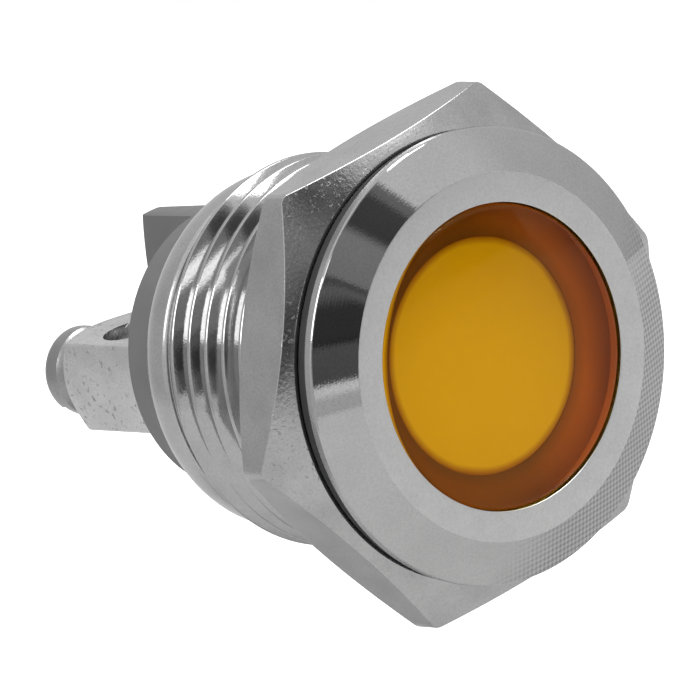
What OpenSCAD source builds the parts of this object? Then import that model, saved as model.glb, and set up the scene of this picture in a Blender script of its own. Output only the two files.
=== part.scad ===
// Metal panel pilot light for a 22 mm panel hole, with two screw terminals.
// The lamp's axis is Y: the lens looks along -Y and the terminals point along +Y.
// The origin is on the axis, in the plane where the bezel's back meets the panel seal.

/* [Bezel] */
// Diameter of the bezel
bezel_d = 25; // [23.5:0.1:30]
// Height of the bezel in front of the panel seal
bezel_h = 1.7; // [1.5:0.05:3]
// Depth of the polished slope round the bezel
bezel_slope_depth = 1.1; // [0.6:0.05:1.3]
// Diameter of the flat ring on the bezel's face
face_ring_d = 20.3; // [18:0.1:22]
// Diameter of the lens hole in the bezel
lens_hole_d = 16.8; // [15.5:0.1:18]
// Thickness of the bezel's front wall, in front of the lens seal
front_wall = 1.1; // [0.9:0.05:1.4]
// Width of the ledge round the lens hole, which holds the lens's flange
lens_ledge = 0.7; // [0.5:0.05:1]

/* [Barrel] */
// Major diameter of the barrel's thread
thread_d = 21.8; // [21.6:0.1:22.4]
// Pitch of the barrel's thread
thread_pitch = 1.5; // [1:0.25:2]
// Distance from the bezel's back to the first ridge of the thread
thread_start = 1.6; // [1:0.1:2.4]
// Distance from the bezel's back to the end of the thread
thread_end = 14.3; // [13.2:0.1:18]
// Width of the turned groove behind the thread
undercut_w = 0.9; // [0.6:0.1:1.5]
// Depth of that groove below the thread's crests
undercut_depth = 1.1; // [0.8:0.05:1.2]
// Least wall between the thread's roots and the bore
barrel_wall = 0.85; // [0.6:0.05:1.2]
// Length of the rolled collar behind the groove
collar_len = 2.9; // [2.4:0.1:4]
// Wall of the rolled collar round the bore
collar_wall = 1; // [0.8:0.05:1.4]
// Rounding of the collar towards the lip
collar_rounding = 2; // [1.4:0.1:2.1]
// How far the lip reaches in from the bore
lip_reach = 0.7; // [0.5:0.05:1]
// Thickness of the rolled lip
lip_t = 0.8; // [0.6:0.05:1]

/* [Panel seal and nut] */
// Outer diameter of the rubber panel seal
panel_seal_d = 24; // [23:0.1:25]
// Thickness of the panel seal
panel_seal_t = 0.9; // [0.5:0.1:1.5]
// Width of the lock nut across its flats
nut_af = 26; // [24:0.1:30]
// How far the nut's six corners are turned off
nut_corner_cut = 0.15; // [0.05:0.05:0.3]
// Thickness of the lock nut
nut_t = 4; // [3.2:0.1:6]
// Diameter of the flat ring left by the chamfer on the nut's panel side
nut_front_ring_d = 24.8; // [24.6:0.1:25.6]
// Diameter of the flat ring left by the chamfer on the nut's terminal side
nut_rear_ring_d = 25.6; // [25.2:0.1:26]
// Angle of the nut's chamfers to its faces, in degrees
nut_chamfer_angle = 30; // [20:1:35]
// Turn of the nut about the lamp's axis, in degrees
nut_turn = 4.5; // [0:0.5:60]
// Mouth diameter of the countersink in the nut
nut_sink_d = 24.4; // [23.6:0.1:24.5]
// Depth of the countersink in the nut
nut_sink_depth = 0.8; // [0.4:0.1:1]
// Radial play between the nut's bore and the thread's crests
nut_play = 0.07; // [0.03:0.01:0.1]

/* [Lens and light] */
// Thickness of the amber lens
lens_t = 2.5; // [2.2:0.1:3]
// How far the lens's face sits behind the bezel's face
lens_recess = 0.3; // [0.1:0.05:0.5]
// Thickness of the seal behind the bezel's front wall
lens_seal_t = 0.5; // [0.3:0.05:0.6]
// Diameter of the milky disc behind the lens
diffuser_d = 12.8; // [10:0.1:14]
// Thickness of the milky disc
diffuser_t = 0.8; // [0.5:0.1:1]
// Length of the light tube between the lens and the circuit board
light_tube_len = 5.2; // [4:0.1:6]
// Wall of the light tube
light_tube_wall = 1; // [0.8:0.1:1.2]
// Thickness of the circuit board
board_t = 1; // [0.6:0.1:1.6]
// Number of light-emitting chips on the board
led_count = 4; // [4]
// Distance of each chip from the lamp's axis
led_circle_r = 3.2; // [2.8:0.1:3.8]
// Width of each chip
led_w = 2.8; // [2:0.1:3]
// Height of each chip
led_h = 0.8; // [0.5:0.1:1.2]

/* [Terminal base] */
// Diameter of the plastic base behind the lip
base_d = 16.2; // [15.6:0.1:17]
// Gap round the base, inside the lip
lip_gap = 0.3; // [0.15:0.05:0.5]
// How far the base stands out behind the lip
base_out = 3.1; // [2:0.1:5]
// Thickness of the base's flange inside the barrel
base_flange_t = 2; // [1.5:0.1:2.5]
// Thickness of the seal ring between the flange and the lip
base_seal_t = 0.4; // [0.3:0.05:0.6]
// Thickness of the barrier where it leaves the base
barrier_root_t = 2.1; // [1.8:0.1:2.4]
// Thickness of the barrier at its rear edge
barrier_tip_t = 1.4; // [1.2:0.1:1.8]
// How far the barrier's corners stand out behind the base
barrier_out = 4.75; // [3:0.1:6]
// How much further the middle of the barrier's rear edge stands out
barrier_bulge = 1.5; // [1:0.1:2.5]
// Length of the small rib on each side of the barrier
rib_len = 3.1; // [2:0.1:4]
// How far that rib stands out of the barrier
rib_out = 0.4; // [0.2:0.05:0.8]
// Width of the rib
rib_w = 0.55; // [0.4:0.05:0.8]
// Diameter of the small round hole in the base's face
mark_hole_d = 0.85; // [0.6:0.05:1.1]
// Distance of that hole to the right of the lamp's middle plane
mark_hole_x = 3.45; // [2.5:0.05:5]
// Height of that hole above the lamp's axis
mark_hole_z = 4.1; // [3.6:0.1:5]

/* [Terminals] */
// Width of the square terminal bars
bar_w = 5.2; // [4.8:0.1:5.3]
// Distance of each bar's middle from the lamp's middle plane
bar_x = 4.55; // [4.5:0.05:4.6]
// Length of a bar behind the base, up to its turned end face
bar_out = 7.4; // [7:0.1:9]
// Length of the turned slope on the bar's corners
bar_slope_len = 1.15; // [0.5:0.05:1.5]
// Diameter of the turned end face of a bar
bar_end_d = 5; // [4.9:0.05:5.1]
// Depth of a bar's socket in the base
socket_depth = 3.4; // [2.5:0.1:3.8]
// Play round a bar in its socket
socket_play = 0.08; // [0.04:0.01:0.12]
// Diameter of the hole for the wire
wire_hole_d = 3.35; // [3:0.05:3.6]
// Distance from the base's face to the middle of the wire hole
wire_hole_y = 3.3; // [2.9:0.1:3.8]
// Thread diameter of the terminal screws
screw_d = 3; // [2.6:0.1:3]
// Length of a terminal screw under its head
screw_len = 5; // [4:0.1:5.4]
// Diameter of a terminal screw's head
screw_head_d = 5; // [4.6:0.1:5.2]
// Height of a terminal screw's head
screw_head_h = 2.3; // [1.8:0.1:2.6]
// Width of the slot in the head
slot_w = 1.05; // [0.8:0.05:1.2]
// Depth of the slot in the head
slot_depth = 1.4; // [0.9:0.05:1.5]
// How far the left screw's head stands clear of its bar's end
left_screw_gap = 0.45; // [0.1:0.05:2]
// How far the right screw's head stands clear of its bar's end
right_screw_gap = 0.25; // [0.1:0.05:2]
// Turn of the left screw about its own axis, in degrees
left_screw_turn = 131; // [0:1:180]
// Turn of the right screw about its own axis, in degrees
right_screw_turn = 20; // [0:1:180]
// Radial play between a screw and its tapped hole
screw_play = 0.07; // [0.04:0.01:0.1]

/* [Hidden] */
$fn = 96;

// Clearances and small edges
fit_gap = 0.1;
edge = 0.15;
least_web = 0.9;
overlap = 0.01;
cut_over = 1;

// Radii of the shell, each with at least its wall round the one inside it
thread_depth = 0.6134 * thread_pitch;
lens_hole_r = lens_hole_d / 2;
base_r = base_d / 2;
lip_hole_r = base_r + lip_gap;
bore_r = max(lens_hole_r + lens_ledge, lip_hole_r + lip_reach);
thread_r = max(thread_d / 2, bore_r + barrel_wall + thread_depth);
panel_seal_r = max(panel_seal_d / 2, thread_r + fit_gap + least_web);
face_ring_r = max(face_ring_d / 2, lens_hole_r + least_web);
bezel_r = max(bezel_d / 2, panel_seal_r + edge, face_ring_r + least_web);

// The barrel, from the bezel's back to the lip
crest_flat = thread_pitch / 8;
root_flat = thread_pitch / 4;
ridge_count = floor((thread_end - thread_start - crest_flat) / thread_pitch) + 1;
neck_r = thread_r - undercut_depth;
collar_step = 0.3;
collar_r = max(bore_r + collar_wall, neck_r + collar_step);
collar_start = thread_end + undercut_w;
lip_y = collar_start + collar_len;
lip_inner_y = lip_y - lip_t;
lip_edge_t = 0.25;
lip_edge_r = lip_hole_r + lip_edge_t;
collar_foot = 0.2;
collar_round = min(collar_rounding, collar_len - 2 * collar_foot);
collar_round_x = collar_r - collar_round;
collar_arc_end = acos(max(0, lip_edge_r - collar_round_x) / collar_round);

// The optical stack, from the bezel's front wall backwards
shoulder_y = -bezel_h + front_wall;
lens_front_y = -bezel_h + lens_recess;
lens_flange_y = shoulder_y + lens_seal_t;
lens_rear_y = lens_front_y + lens_t;
stack_r = bore_r - fit_gap;
diffuser_rear_y = lens_rear_y + diffuser_t;
board_y = lens_rear_y + light_tube_len;
board_rear_y = board_y + board_t;
disc_ledge = 0.4;
tube_flange_t = diffuser_t + 0.5;
tube_outer_r = diffuser_d / 2 + light_tube_wall;
tube_inner_r = diffuser_d / 2 - disc_ledge;
board_r = stack_r - fit_gap;
key_notch_r = 0.8;
led_well_r = led_w * 0.4;
rectifier_size = [4.6, 4, 1.9];
rectifier_offset = 3;
can_r = 2;
can_h = 4.6;
can_groove = 0.2;
can_offset = 5;
resistor_size = [1.6, 3.2, 0.6];
resistor_x = 1.6;

// The terminal base and what it holds
seal_y = lip_inner_y - base_seal_t;
flange_y = seal_y - base_flange_t;
base_face_y = lip_y + base_out;
socket_y = base_face_y - socket_depth;
bar_half = bar_w / 2;
bar_end_y = base_face_y + bar_out;
tail_w = 2.4;
tail_out = 0.4;
tail_front_y = flange_y - tail_out;
wire_y = base_face_y + wire_hole_y;
barrier_arc_r = (pow(base_r, 2) + pow(barrier_bulge, 2)) / (2 * barrier_bulge);
barrier_tip_y = base_face_y + barrier_out + barrier_bulge;
barrier_pivot_y = barrier_tip_y - barrier_arc_r;
barrier_root_y = base_face_y - 0.6;
barrier_draft = 0.25;
barrier_tip_round = 0.25;
rib_root = 0.3;
rib_z = bar_half + socket_play + 0.1;
mark_hole_depth = 2;
sleeve_wall = 0.9;
pin_d = 1.2;
pin_out = 0.3;
pin_front_y = board_y - pin_out;

// The nut
nut_y = panel_seal_t;
nut_bore_r = thread_r + nut_play;
nut_slope = tan(nut_chamfer_angle);
sink_step = 0.4;
nut_half = max(nut_af / 2, nut_bore_r + 4 * edge);
nut_corner_r = nut_half / cos(30);
least_ring_r = nut_bore_r + 3 * edge;
front_ring_r = max(least_ring_r, min(nut_front_ring_d / 2, nut_half - edge));
rear_ring_r = max(least_ring_r, min(nut_rear_ring_d / 2, nut_half - edge));
sink_r = max(least_ring_r - edge, min(nut_sink_d / 2, front_ring_r - edge, rear_ring_r - edge));
sink_throat_r = min(nut_bore_r + sink_step, sink_r - edge);

// The terminal screws
head_r = screw_head_d / 2;
head_rim_h = 1.1;
head_under_edge = 0.3;
head_dome_h = screw_head_h - head_rim_h;
cross_len = screw_head_d * 0.62;
cross_deeper = 0.3;
slot_floor_h = max(screw_head_h - slot_depth, head_under_edge + cross_deeper + edge);
screw_tip_edge = 0.3;

// Colours, as plain finishes
plate_color = [0.80, 0.81, 0.82];
nut_color = [0.72, 0.73, 0.74];
rubber_color = [0.07, 0.07, 0.07];
amber_color = [0.82, 0.47, 0.08, 0.6];
milk_color = [0.90, 0.62, 0.12];
grey_plastic_color = [0.42, 0.42, 0.42];
dark_plastic_color = [0.16, 0.15, 0.15];
board_color = [0.90, 0.90, 0.86];
brass_color = [0.78, 0.62, 0.30];

// Turns a shape drawn along Z so that it runs along the lamp's axis, Y
module along_axis(y = 0) {
    translate([0, y, 0])
        rotate([-90, 0, 0])
            children();
}

// A ring or tube between two radii, from y0 to y1
module ring(r_out, r_in, y0, y1) {
    along_axis(y0)
        difference() {
            cylinder(r = r_out, h = y1 - y0);
            translate([0, 0, -cut_over])
                cylinder(r = r_in, h = y1 - y0 + 2 * cut_over);
        }
}

// Points of a quarter arc about a centre, from one angle to another
function arc_points(cx, cy, r, a0, a1, steps) =
    [for (i = [0 : steps]) let (a = a0 + (a1 - a0) * i / steps) [cx + r * cos(a), cy + r * sin(a)]];

// One ridge of the thread, seen in section, with its flat crest in the middle
function ridge_points(y) =
    let (half = (thread_pitch - root_flat) / 2)
    [[thread_r - thread_depth, y - half], [thread_r, y - crest_flat / 2],
     [thread_r, y + crest_flat / 2], [thread_r - thread_depth, y + half]];

// Outline of the shell's outside, from the face ring back to the lip
function shell_outside() = concat(
    [[lens_hole_r, -bezel_h + edge], [lens_hole_r + edge, -bezel_h], [face_ring_r, -bezel_h]],
    [[bezel_r, -bezel_h + bezel_slope_depth], [bezel_r, -edge], [bezel_r - edge, 0]],
    [[neck_r, 0], [neck_r, thread_start - (thread_pitch - root_flat) / 2]],
    [for (i = [0 : ridge_count - 1]) each ridge_points(thread_start + i * thread_pitch)],
    [[neck_r, thread_start + (ridge_count - 1) * thread_pitch + (thread_pitch - root_flat) / 2]],
    [[neck_r, collar_start], [collar_r - collar_foot, collar_start]],
    arc_points(collar_round_x, lip_y - collar_round, collar_round, 12, collar_arc_end, 16));

// The turned shell: bezel, threaded barrel and rolled collar in one piece
module housing_shell() {
    inside = [[lip_hole_r, lip_y], [lip_hole_r, lip_inner_y], [bore_r, lip_inner_y],
        [bore_r, shoulder_y], [lens_hole_r, shoulder_y]];
    color(plate_color)
        along_axis()
            rotate_extrude()
                polygon(concat(shell_outside(), inside));
}

// Flat rubber ring between the bezel and the panel
module panel_seal() {
    color(rubber_color)
        ring(panel_seal_r, thread_r + fit_gap, 0, panel_seal_t);
}

// Section of the turning that chamfers the hexagon and bores it
function nut_section() =
    let (out_r = nut_corner_r - nut_corner_cut)
    [[nut_bore_r, nut_sink_depth], [sink_r, 0], [front_ring_r, 0],
     [out_r, (out_r - front_ring_r) * nut_slope],
     [out_r, nut_t - (out_r - rear_ring_r) * nut_slope],
     [rear_ring_r, nut_t], [sink_r, nut_t],
     [sink_throat_r, nut_t - nut_sink_depth], [sink_throat_r, nut_t - 2 * nut_sink_depth],
     [nut_bore_r, nut_t - 2 * nut_sink_depth]];

// Hexagonal lock nut, chamfered deeply on its panel side
module lock_nut() {
    color(nut_color)
        along_axis(nut_y)
            intersection() {
                rotate([0, 0, -nut_turn])
                    cylinder(r = nut_corner_r, h = nut_t, $fn = 6);
                rotate_extrude()
                    polygon(nut_section());
            }
}

// Clear amber lens: a round window with a flange behind the bezel's front wall
module lens() {
    window_r = lens_hole_r - fit_gap;
    color(amber_color)
        along_axis()
            rotate_extrude()
                polygon([[0, lens_front_y], [window_r - edge, lens_front_y],
                    [window_r, lens_front_y + edge], [window_r, lens_flange_y],
                    [stack_r, lens_flange_y], [stack_r, lens_rear_y], [0, lens_rear_y]]);
}

// Seal between the lens's flange and the bezel's front wall
module lens_seal() {
    color(rubber_color)
        ring(stack_r, lens_hole_r, shoulder_y, lens_flange_y);
}

// Milky disc that spreads the light
module diffuser_disc() {
    color(milk_color)
        along_axis(lens_rear_y)
            cylinder(r = diffuser_d / 2, h = diffuser_t);
}

// Light tube: a flange that holds the disc, and a tapering tube down to the board
module light_tube() {
    recess_r = diffuser_d / 2 + fit_gap / 2;
    flange_end_y = lens_rear_y + tube_flange_t;
    color(dark_plastic_color)
        along_axis()
            rotate_extrude()
                polygon([[recess_r, lens_rear_y], [stack_r, lens_rear_y], [stack_r, flange_end_y],
                    [tube_outer_r, flange_end_y], [tube_outer_r, board_y],
                    [tube_outer_r - light_tube_wall, board_y], [tube_inner_r, diffuser_rear_y],
                    [recess_r, diffuser_rear_y]]);
}

// Round circuit board with a hole for each contact pin and a key notch
module led_board() {
    color(board_color)
        along_axis(board_y)
            difference() {
                cylinder(r = board_r, h = board_t);
                for (side = [-1, 1])
                    translate([side * bar_x, 0, -cut_over])
                        cylinder(r = pin_d / 2 + fit_gap / 2, h = board_t + 2 * cut_over);
                translate([0, board_r, -cut_over])
                    cylinder(r = key_notch_r, h = board_t + 2 * cut_over);
            }
}

// One light-emitting chip: a square case with a round well
module led_chip(number) {
    color(milk_color)
        along_axis(board_y - led_h)
            rotate([0, 0, 45 + 360 / led_count * (number - 1)])
                translate([led_circle_r, 0, 0])
                    difference() {
                        translate([-led_w / 2, -led_w / 2, 0])
                            cube([led_w, led_w, led_h]);
                        translate([0, 0, -overlap])
                            cylinder(r = led_well_r, h = led_h / 3 + overlap);
                    }
}

// Flat rectifier package on the back of the board, so that the lamp takes either polarity
module bridge_rectifier() {
    color(dark_plastic_color)
        along_axis(board_rear_y)
            translate([-rectifier_size[0] / 2, rectifier_offset, 0])
                cube(rectifier_size);
}

// Small round capacitor standing on the back of the board
module smoothing_capacitor() {
    groove_z = 3.5 * can_groove;
    color(plate_color)
        along_axis(board_rear_y)
            translate([0, -can_offset, 0])
                rotate_extrude()
                    polygon([[0, 0], [can_r, 0], [can_r, groove_z - can_groove], [can_r - edge, groove_z],
                        [can_r, groove_z + can_groove], [can_r, can_h - edge],
                        [can_r - edge, can_h], [0, can_h]]);
}

// Flat resistor on the back of the board, beside the middle
module dropper_resistor(side) {
    color(dark_plastic_color)
        along_axis(board_rear_y)
            translate([side * resistor_x - resistor_size[0] / 2, -resistor_size[1] / 2, 0])
                cube(resistor_size);
}

// Straight pin from the circuit board to the tail of a terminal bar
module contact_pin(side) {
    color(brass_color)
        translate([side * bar_x, 0, 0])
            along_axis(pin_front_y)
                cylinder(r = pin_d / 2, h = tail_front_y - pin_front_y);
}

// Tube that presses the board against the light tube
module spacer_sleeve() {
    color(grey_plastic_color)
        ring(stack_r, stack_r - sleeve_wall, board_rear_y, flange_y);
}

// Seal ring on the base's flange, under the rolled lip
module base_seal() {
    color(rubber_color)
        ring(stack_r, base_r + fit_gap / 2, seal_y, lip_inner_y);
}

// The barrier between the terminals: a tapered wall whose rear edge is a long arc
module barrier() {
    root_arc_r = barrier_root_y - barrier_pivot_y;
    inner_arc_r = root_arc_r - 1.5;
    tip_arc_r = barrier_arc_r - barrier_tip_round;
    sweep = 2 * asin(base_r / root_arc_r) + 4;
    root_half = barrier_root_t / 2;
    tip_half = barrier_tip_t / 2;
    rounding_z = tip_half - barrier_tip_round;
    length = barrier_tip_y - barrier_root_y;
    intersection() {
        translate([0, barrier_pivot_y, 0])
            rotate([0, 90, 0])
                rotate([0, 0, 90 - sweep / 2])
                    rotate_extrude(angle = sweep)
                        polygon(concat(
                            [[inner_arc_r, -root_half], [root_arc_r, -root_half]],
                            arc_points(tip_arc_r, -rounding_z, barrier_tip_round, -90, 0, 4),
                            arc_points(tip_arc_r, rounding_z, barrier_tip_round, 0, 90, 4),
                            [[root_arc_r, root_half], [inner_arc_r, root_half]]));
        along_axis(barrier_root_y)
            cylinder(r1 = base_r, r2 = base_r - barrier_draft, h = length + cut_over);
    }
}

// Section of a terminal bar, a square with its long edges just broken
module bar_section(width, corner) {
    half = width / 2;
    polygon([[-half + corner, -half], [half - corner, -half], [half, -half + corner], [half, half - corner],
        [half - corner, half], [-half + corner, half], [-half, half - corner], [-half, -half + corner]]);
}

// Plastic base: flange under the lip, round body, barrier, ribs and the bars' sockets
module terminal_base() {
    rib_half = barrier_root_t / 2 + rib_out;
    color(grey_plastic_color)
        difference() {
            union() {
                along_axis()
                    rotate_extrude()
                        polygon([[0, flange_y], [stack_r, flange_y], [stack_r, seal_y], [base_r, seal_y],
                            [base_r, base_face_y - edge], [base_r - edge, base_face_y], [0, base_face_y]]);
                barrier();
                translate([-rib_half, base_face_y - rib_root, rib_z])
                    cube([2 * rib_half, rib_len + rib_root, rib_w]);
            }
            for (side = [-1, 1])
                translate([side * bar_x, 0, 0]) {
                    along_axis(socket_y)
                        linear_extrude(socket_depth + cut_over)
                            bar_section(bar_w + 2 * socket_play, edge);
                    along_axis(flange_y - cut_over)
                        linear_extrude(socket_y - flange_y + 2 * cut_over)
                            bar_section(tail_w + 2 * socket_play, edge);
                }
            translate([mark_hole_x, 0, mark_hole_z])
                along_axis(base_face_y - mark_hole_depth)
                    cylinder(r = mark_hole_d / 2, h = mark_hole_depth + cut_over);
        }
}

// Square bar with a turned end, a cross hole for the wire and a tapped hole for the screw
module terminal_bar(side) {
    corner_r = bar_half * sqrt(2);
    turned_len = bar_end_y - socket_y + cut_over;
    slope_start = turned_len - bar_slope_len;
    color(plate_color)
        translate([side * bar_x, 0, 0])
            difference() {
                union() {
                    intersection() {
                        along_axis(socket_y)
                            linear_extrude(bar_end_y - socket_y)
                                bar_section(bar_w, edge);
                        along_axis(socket_y - cut_over)
                            rotate_extrude()
                                polygon([[0, 0], [corner_r, 0], [corner_r, slope_start],
                                    [bar_end_d / 2, turned_len], [0, turned_len]]);
                    }
                    along_axis(tail_front_y)
                        linear_extrude(socket_y - tail_front_y + overlap)
                            bar_section(tail_w, edge);
                }
                translate([0, wire_y, -bar_w])
                    cylinder(r = wire_hole_d / 2, h = 2 * bar_w);
                along_axis(wire_y)
                    cylinder(r = screw_d / 2 + screw_play, h = bar_end_y - wire_y + cut_over);
            }
}

// Outline of the screw head's dome, half an oval that runs smoothly out of the rim
function dome_points(steps) =
    [for (i = [0 : steps]) let (a = 90 * i / steps) [head_r * cos(a), head_rim_h + head_dome_h * sin(a)]];

// Domed screw head with a slot right across it and a cross recess in its middle
module screw_head(turn) {
    difference() {
        rotate_extrude()
            polygon(concat(
                [[0, 0], [head_r - head_under_edge, 0], [head_r, head_under_edge]],
                dome_points(14)));
        rotate([0, 0, turn]) {
            translate([-screw_head_d, -slot_w / 2, slot_floor_h])
                cube([2 * screw_head_d, slot_w, screw_head_h]);
            translate([-slot_w / 2, -cross_len / 2, slot_floor_h - cross_deeper])
                cube([slot_w, cross_len, screw_head_h]);
        }
    }
}

// Terminal screw, almost down on the bar's end, with its tip across the wire hole
module terminal_screw(side, turn, gap) {
    shank_r = screw_d / 2;
    color(plate_color)
        translate([side * bar_x, 0, 0])
            along_axis(bar_end_y + gap)
                union() {
                    screw_head(turn);
                    translate([0, 0, -screw_len])
                        rotate_extrude()
                            polygon([[0, 0], [shank_r - screw_tip_edge, 0], [shank_r, screw_tip_edge],
                                [shank_r, screw_len + overlap], [0, screw_len + overlap]]);
                }
}

housing_shell();
panel_seal();
lock_nut();
lens();
lens_seal();
diffuser_disc();
light_tube();
led_board();
led_chip(1);  // led_chip_1
led_chip(2);  // led_chip_2
led_chip(3);  // led_chip_3
led_chip(4);  // led_chip_4
bridge_rectifier();
smoothing_capacitor();
dropper_resistor(-1);  // dropper_resistor_left
dropper_resistor(1);  // dropper_resistor_right
contact_pin(-1);  // contact_pin_left
contact_pin(1);  // contact_pin_right
spacer_sleeve();
base_seal();
terminal_base();
terminal_bar(-1);  // terminal_bar_left
terminal_bar(1);  // terminal_bar_right
terminal_screw(-1, left_screw_turn, left_screw_gap);  // terminal_screw_left
terminal_screw(1, right_screw_turn, right_screw_gap);  // terminal_screw_right
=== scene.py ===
# %% [markdown]
# A panel pilot light is a small lamp that sits in a round hole of a control panel. Its turned metal
# shell goes in from the front, a hexagonal nut holds it from behind, and two square terminals stand
# out of a plastic base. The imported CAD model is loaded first, and it gives every size and place.

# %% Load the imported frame
import math

import bmesh
import bpy
from mathutils import Matrix, Vector


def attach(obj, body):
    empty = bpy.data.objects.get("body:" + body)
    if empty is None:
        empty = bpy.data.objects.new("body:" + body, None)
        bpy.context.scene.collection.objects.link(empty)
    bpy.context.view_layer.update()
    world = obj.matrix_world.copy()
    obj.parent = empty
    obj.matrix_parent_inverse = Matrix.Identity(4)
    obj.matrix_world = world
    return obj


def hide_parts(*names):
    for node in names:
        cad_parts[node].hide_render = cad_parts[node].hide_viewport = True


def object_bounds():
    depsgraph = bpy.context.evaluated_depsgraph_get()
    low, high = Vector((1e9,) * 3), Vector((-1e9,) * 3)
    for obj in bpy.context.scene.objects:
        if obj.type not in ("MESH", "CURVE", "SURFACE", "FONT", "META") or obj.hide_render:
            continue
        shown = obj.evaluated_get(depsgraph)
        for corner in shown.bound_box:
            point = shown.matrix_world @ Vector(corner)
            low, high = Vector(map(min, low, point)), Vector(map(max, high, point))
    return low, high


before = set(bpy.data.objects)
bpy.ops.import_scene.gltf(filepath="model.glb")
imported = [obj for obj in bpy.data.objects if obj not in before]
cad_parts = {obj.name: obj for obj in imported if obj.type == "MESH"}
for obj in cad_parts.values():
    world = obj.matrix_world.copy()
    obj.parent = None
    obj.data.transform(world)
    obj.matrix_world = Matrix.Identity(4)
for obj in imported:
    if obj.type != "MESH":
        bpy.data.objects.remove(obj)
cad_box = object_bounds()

MM = 0.001
print("CAD box in mm:", [round(v / MM, 2) for corner in cad_box for v in corner])

# %% [markdown]
# The camera comes before the pieces. The photograph looks at the bezel from the lamp's left and a
# little above, and the lamp leans a little to the left in the picture. Three unit vectors say this:
# where the picture's right, its up and the line of sight point, in the lamp's own axes. A long lens
# far away keeps the perspective as flat as the photograph's.

# %% Camera
RIGHT = Vector((0.7317, -0.6280, -0.2661))
UP = Vector((0.3633, 0.0286, 0.9315))
AHEAD = Vector((0.5772, 0.7780, -0.2495))
BEZEL_FRONT = -1.7
BEZEL_CENTRE = Vector((0, BEZEL_FRONT * MM, 0))
AIM_RIGHT, AIM_UP = -8.17 * MM, 0.29 * MM
CAMERA_DISTANCE = 600 * MM
NEAREST, FARTHEST = 0.01, 20
PIXELS_PER_MM = 18.44
IMAGE_WIDTH = 700
SENSOR_MM = 36


def aimed_camera(target):
    """A long-lens camera that looks at the target along AHEAD."""
    data = bpy.data.cameras.new("camera")
    data.sensor_width = SENSOR_MM
    data.lens = PIXELS_PER_MM * CAMERA_DISTANCE / MM / IMAGE_WIDTH * SENSOR_MM
    data.clip_start, data.clip_end = NEAREST, FARTHEST
    camera = bpy.data.objects.new("camera", data)
    bpy.context.scene.collection.objects.link(camera)
    turn = Matrix((RIGHT, UP, -AHEAD)).transposed().to_quaternion()
    camera.matrix_world = Matrix.LocRotScale(target - AHEAD * CAMERA_DISTANCE, turn, None)
    return camera


aim = BEZEL_CENTRE + RIGHT * AIM_RIGHT + UP * AIM_UP
bpy.context.scene.camera = aimed_camera(aim)
bpy.context.scene.view_settings.view_transform = "Standard"
print("Lens of", round(bpy.context.scene.camera.data.lens), "mm")

# %% [markdown]
# Materials are built from nodes. One small function adds a node, sets its options and fills its
# sockets, either with a plain value or with a link. Plain values always go straight on the shader.
# The other functions are the few nodes that every finish needs: noise, a range, a mix and a bump.


# %% Node helpers
def put(tree, kind, inputs=None, **options):
    """Adds one shader node. A socket given as a value is linked; anything else is set."""
    made = tree.nodes.new("ShaderNode" + kind)
    for key, value in options.items():
        setattr(made, key, value)
    for key, value in (inputs or {}).items():
        if isinstance(value, bpy.types.NodeSocket):
            tree.links.new(value, made.inputs[key])
        else:
            made.inputs[key].default_value = value
    return made


def blank(name):
    """A new material, its tree and its output node."""
    material = bpy.data.materials.new(name)
    material.use_nodes = True
    material.node_tree.nodes.clear()
    return material, material.node_tree, put(material.node_tree, "OutputMaterial")


def grey(level):
    """A grey colour."""
    return (level, level, level)


def place(tree):
    """The surface's place in metres, which stays fixed on the piece."""
    return put(tree, "TexCoord").outputs["Object"]


def noise(tree, scale, detail=2.0, vector=None, distortion=0.0):
    """Noise between 0 and 1, with `scale` lumps per metre."""
    where = vector or place(tree)
    made = put(tree, "TexNoise", {"Vector": where, "Scale": scale, "Detail": detail,
                                  "Distortion": distortion})
    return made.outputs["Fac"]


def ramp(tree, value, low, high, to_low=0.0, to_high=1.0):
    """Maps value from low..high to to_low..to_high, and stops at both ends."""
    made = put(tree, "MapRange", {"Value": value, "From Min": low, "From Max": high,
                                  "To Min": to_low, "To Max": to_high})
    return made.outputs["Result"]


def uneven(tree, scale, low, high, detail=2.0):
    """A value that wanders between low and high over the piece."""
    return ramp(tree, noise(tree, scale, detail), 0.3, 0.7, low, high)


def blend(tree, factor, first, second):
    """A colour between two colours."""
    made = put(tree, "Mix", data_type="RGBA")
    for key, value in (("Factor", factor), ("A", first), ("B", second)):
        socket = next(s for s in made.inputs if s.name == key and s.enabled)
        if isinstance(value, bpy.types.NodeSocket):
            tree.links.new(value, socket)
        else:
            socket.default_value = value if key == "Factor" else (*value, 1)
    return next(s for s in made.outputs if s.enabled)


def math_node(tree, operation, first, second=0.0):
    """One step of arithmetic on one or two numbers."""
    return put(tree, "Math", {0: first, 1: second}, operation=operation).outputs[0]


def product(tree, first, *others):
    """Masks multiplied together."""
    for other in others:
        first = math_node(tree, "MULTIPLY", first, other)
    return first


def bump(tree, height, strength, depth, under=None, invert=False):
    """A bump from a height between 0 and 1, `depth` metres deep, on top of the bump under it."""
    made = put(tree, "Bump", {"Height": height, "Strength": strength, "Distance": depth},
               invert=invert)
    if under is not None:
        tree.links.new(under, made.inputs["Normal"])
    return made.outputs["Normal"]


print("Node helpers ready in Blender", bpy.app.version_string)

# %% [markdown]
# The stage is plain: one pale floor below the lamp. The floor glows a little, to the camera alone,
# so that it reaches white without more light on the lamp and still takes the lamp's shadow. The
# metal mirrors it as a somewhat darker floor.

# %% Floor
FLOOR_DROP = 14 * MM
FLOOR_HALF = 160 * MM
FLOOR_TONE = 0.80
FLOOR_TONE_MIRRORED = 0.62
FLOOR_GLOW = 0.55


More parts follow.
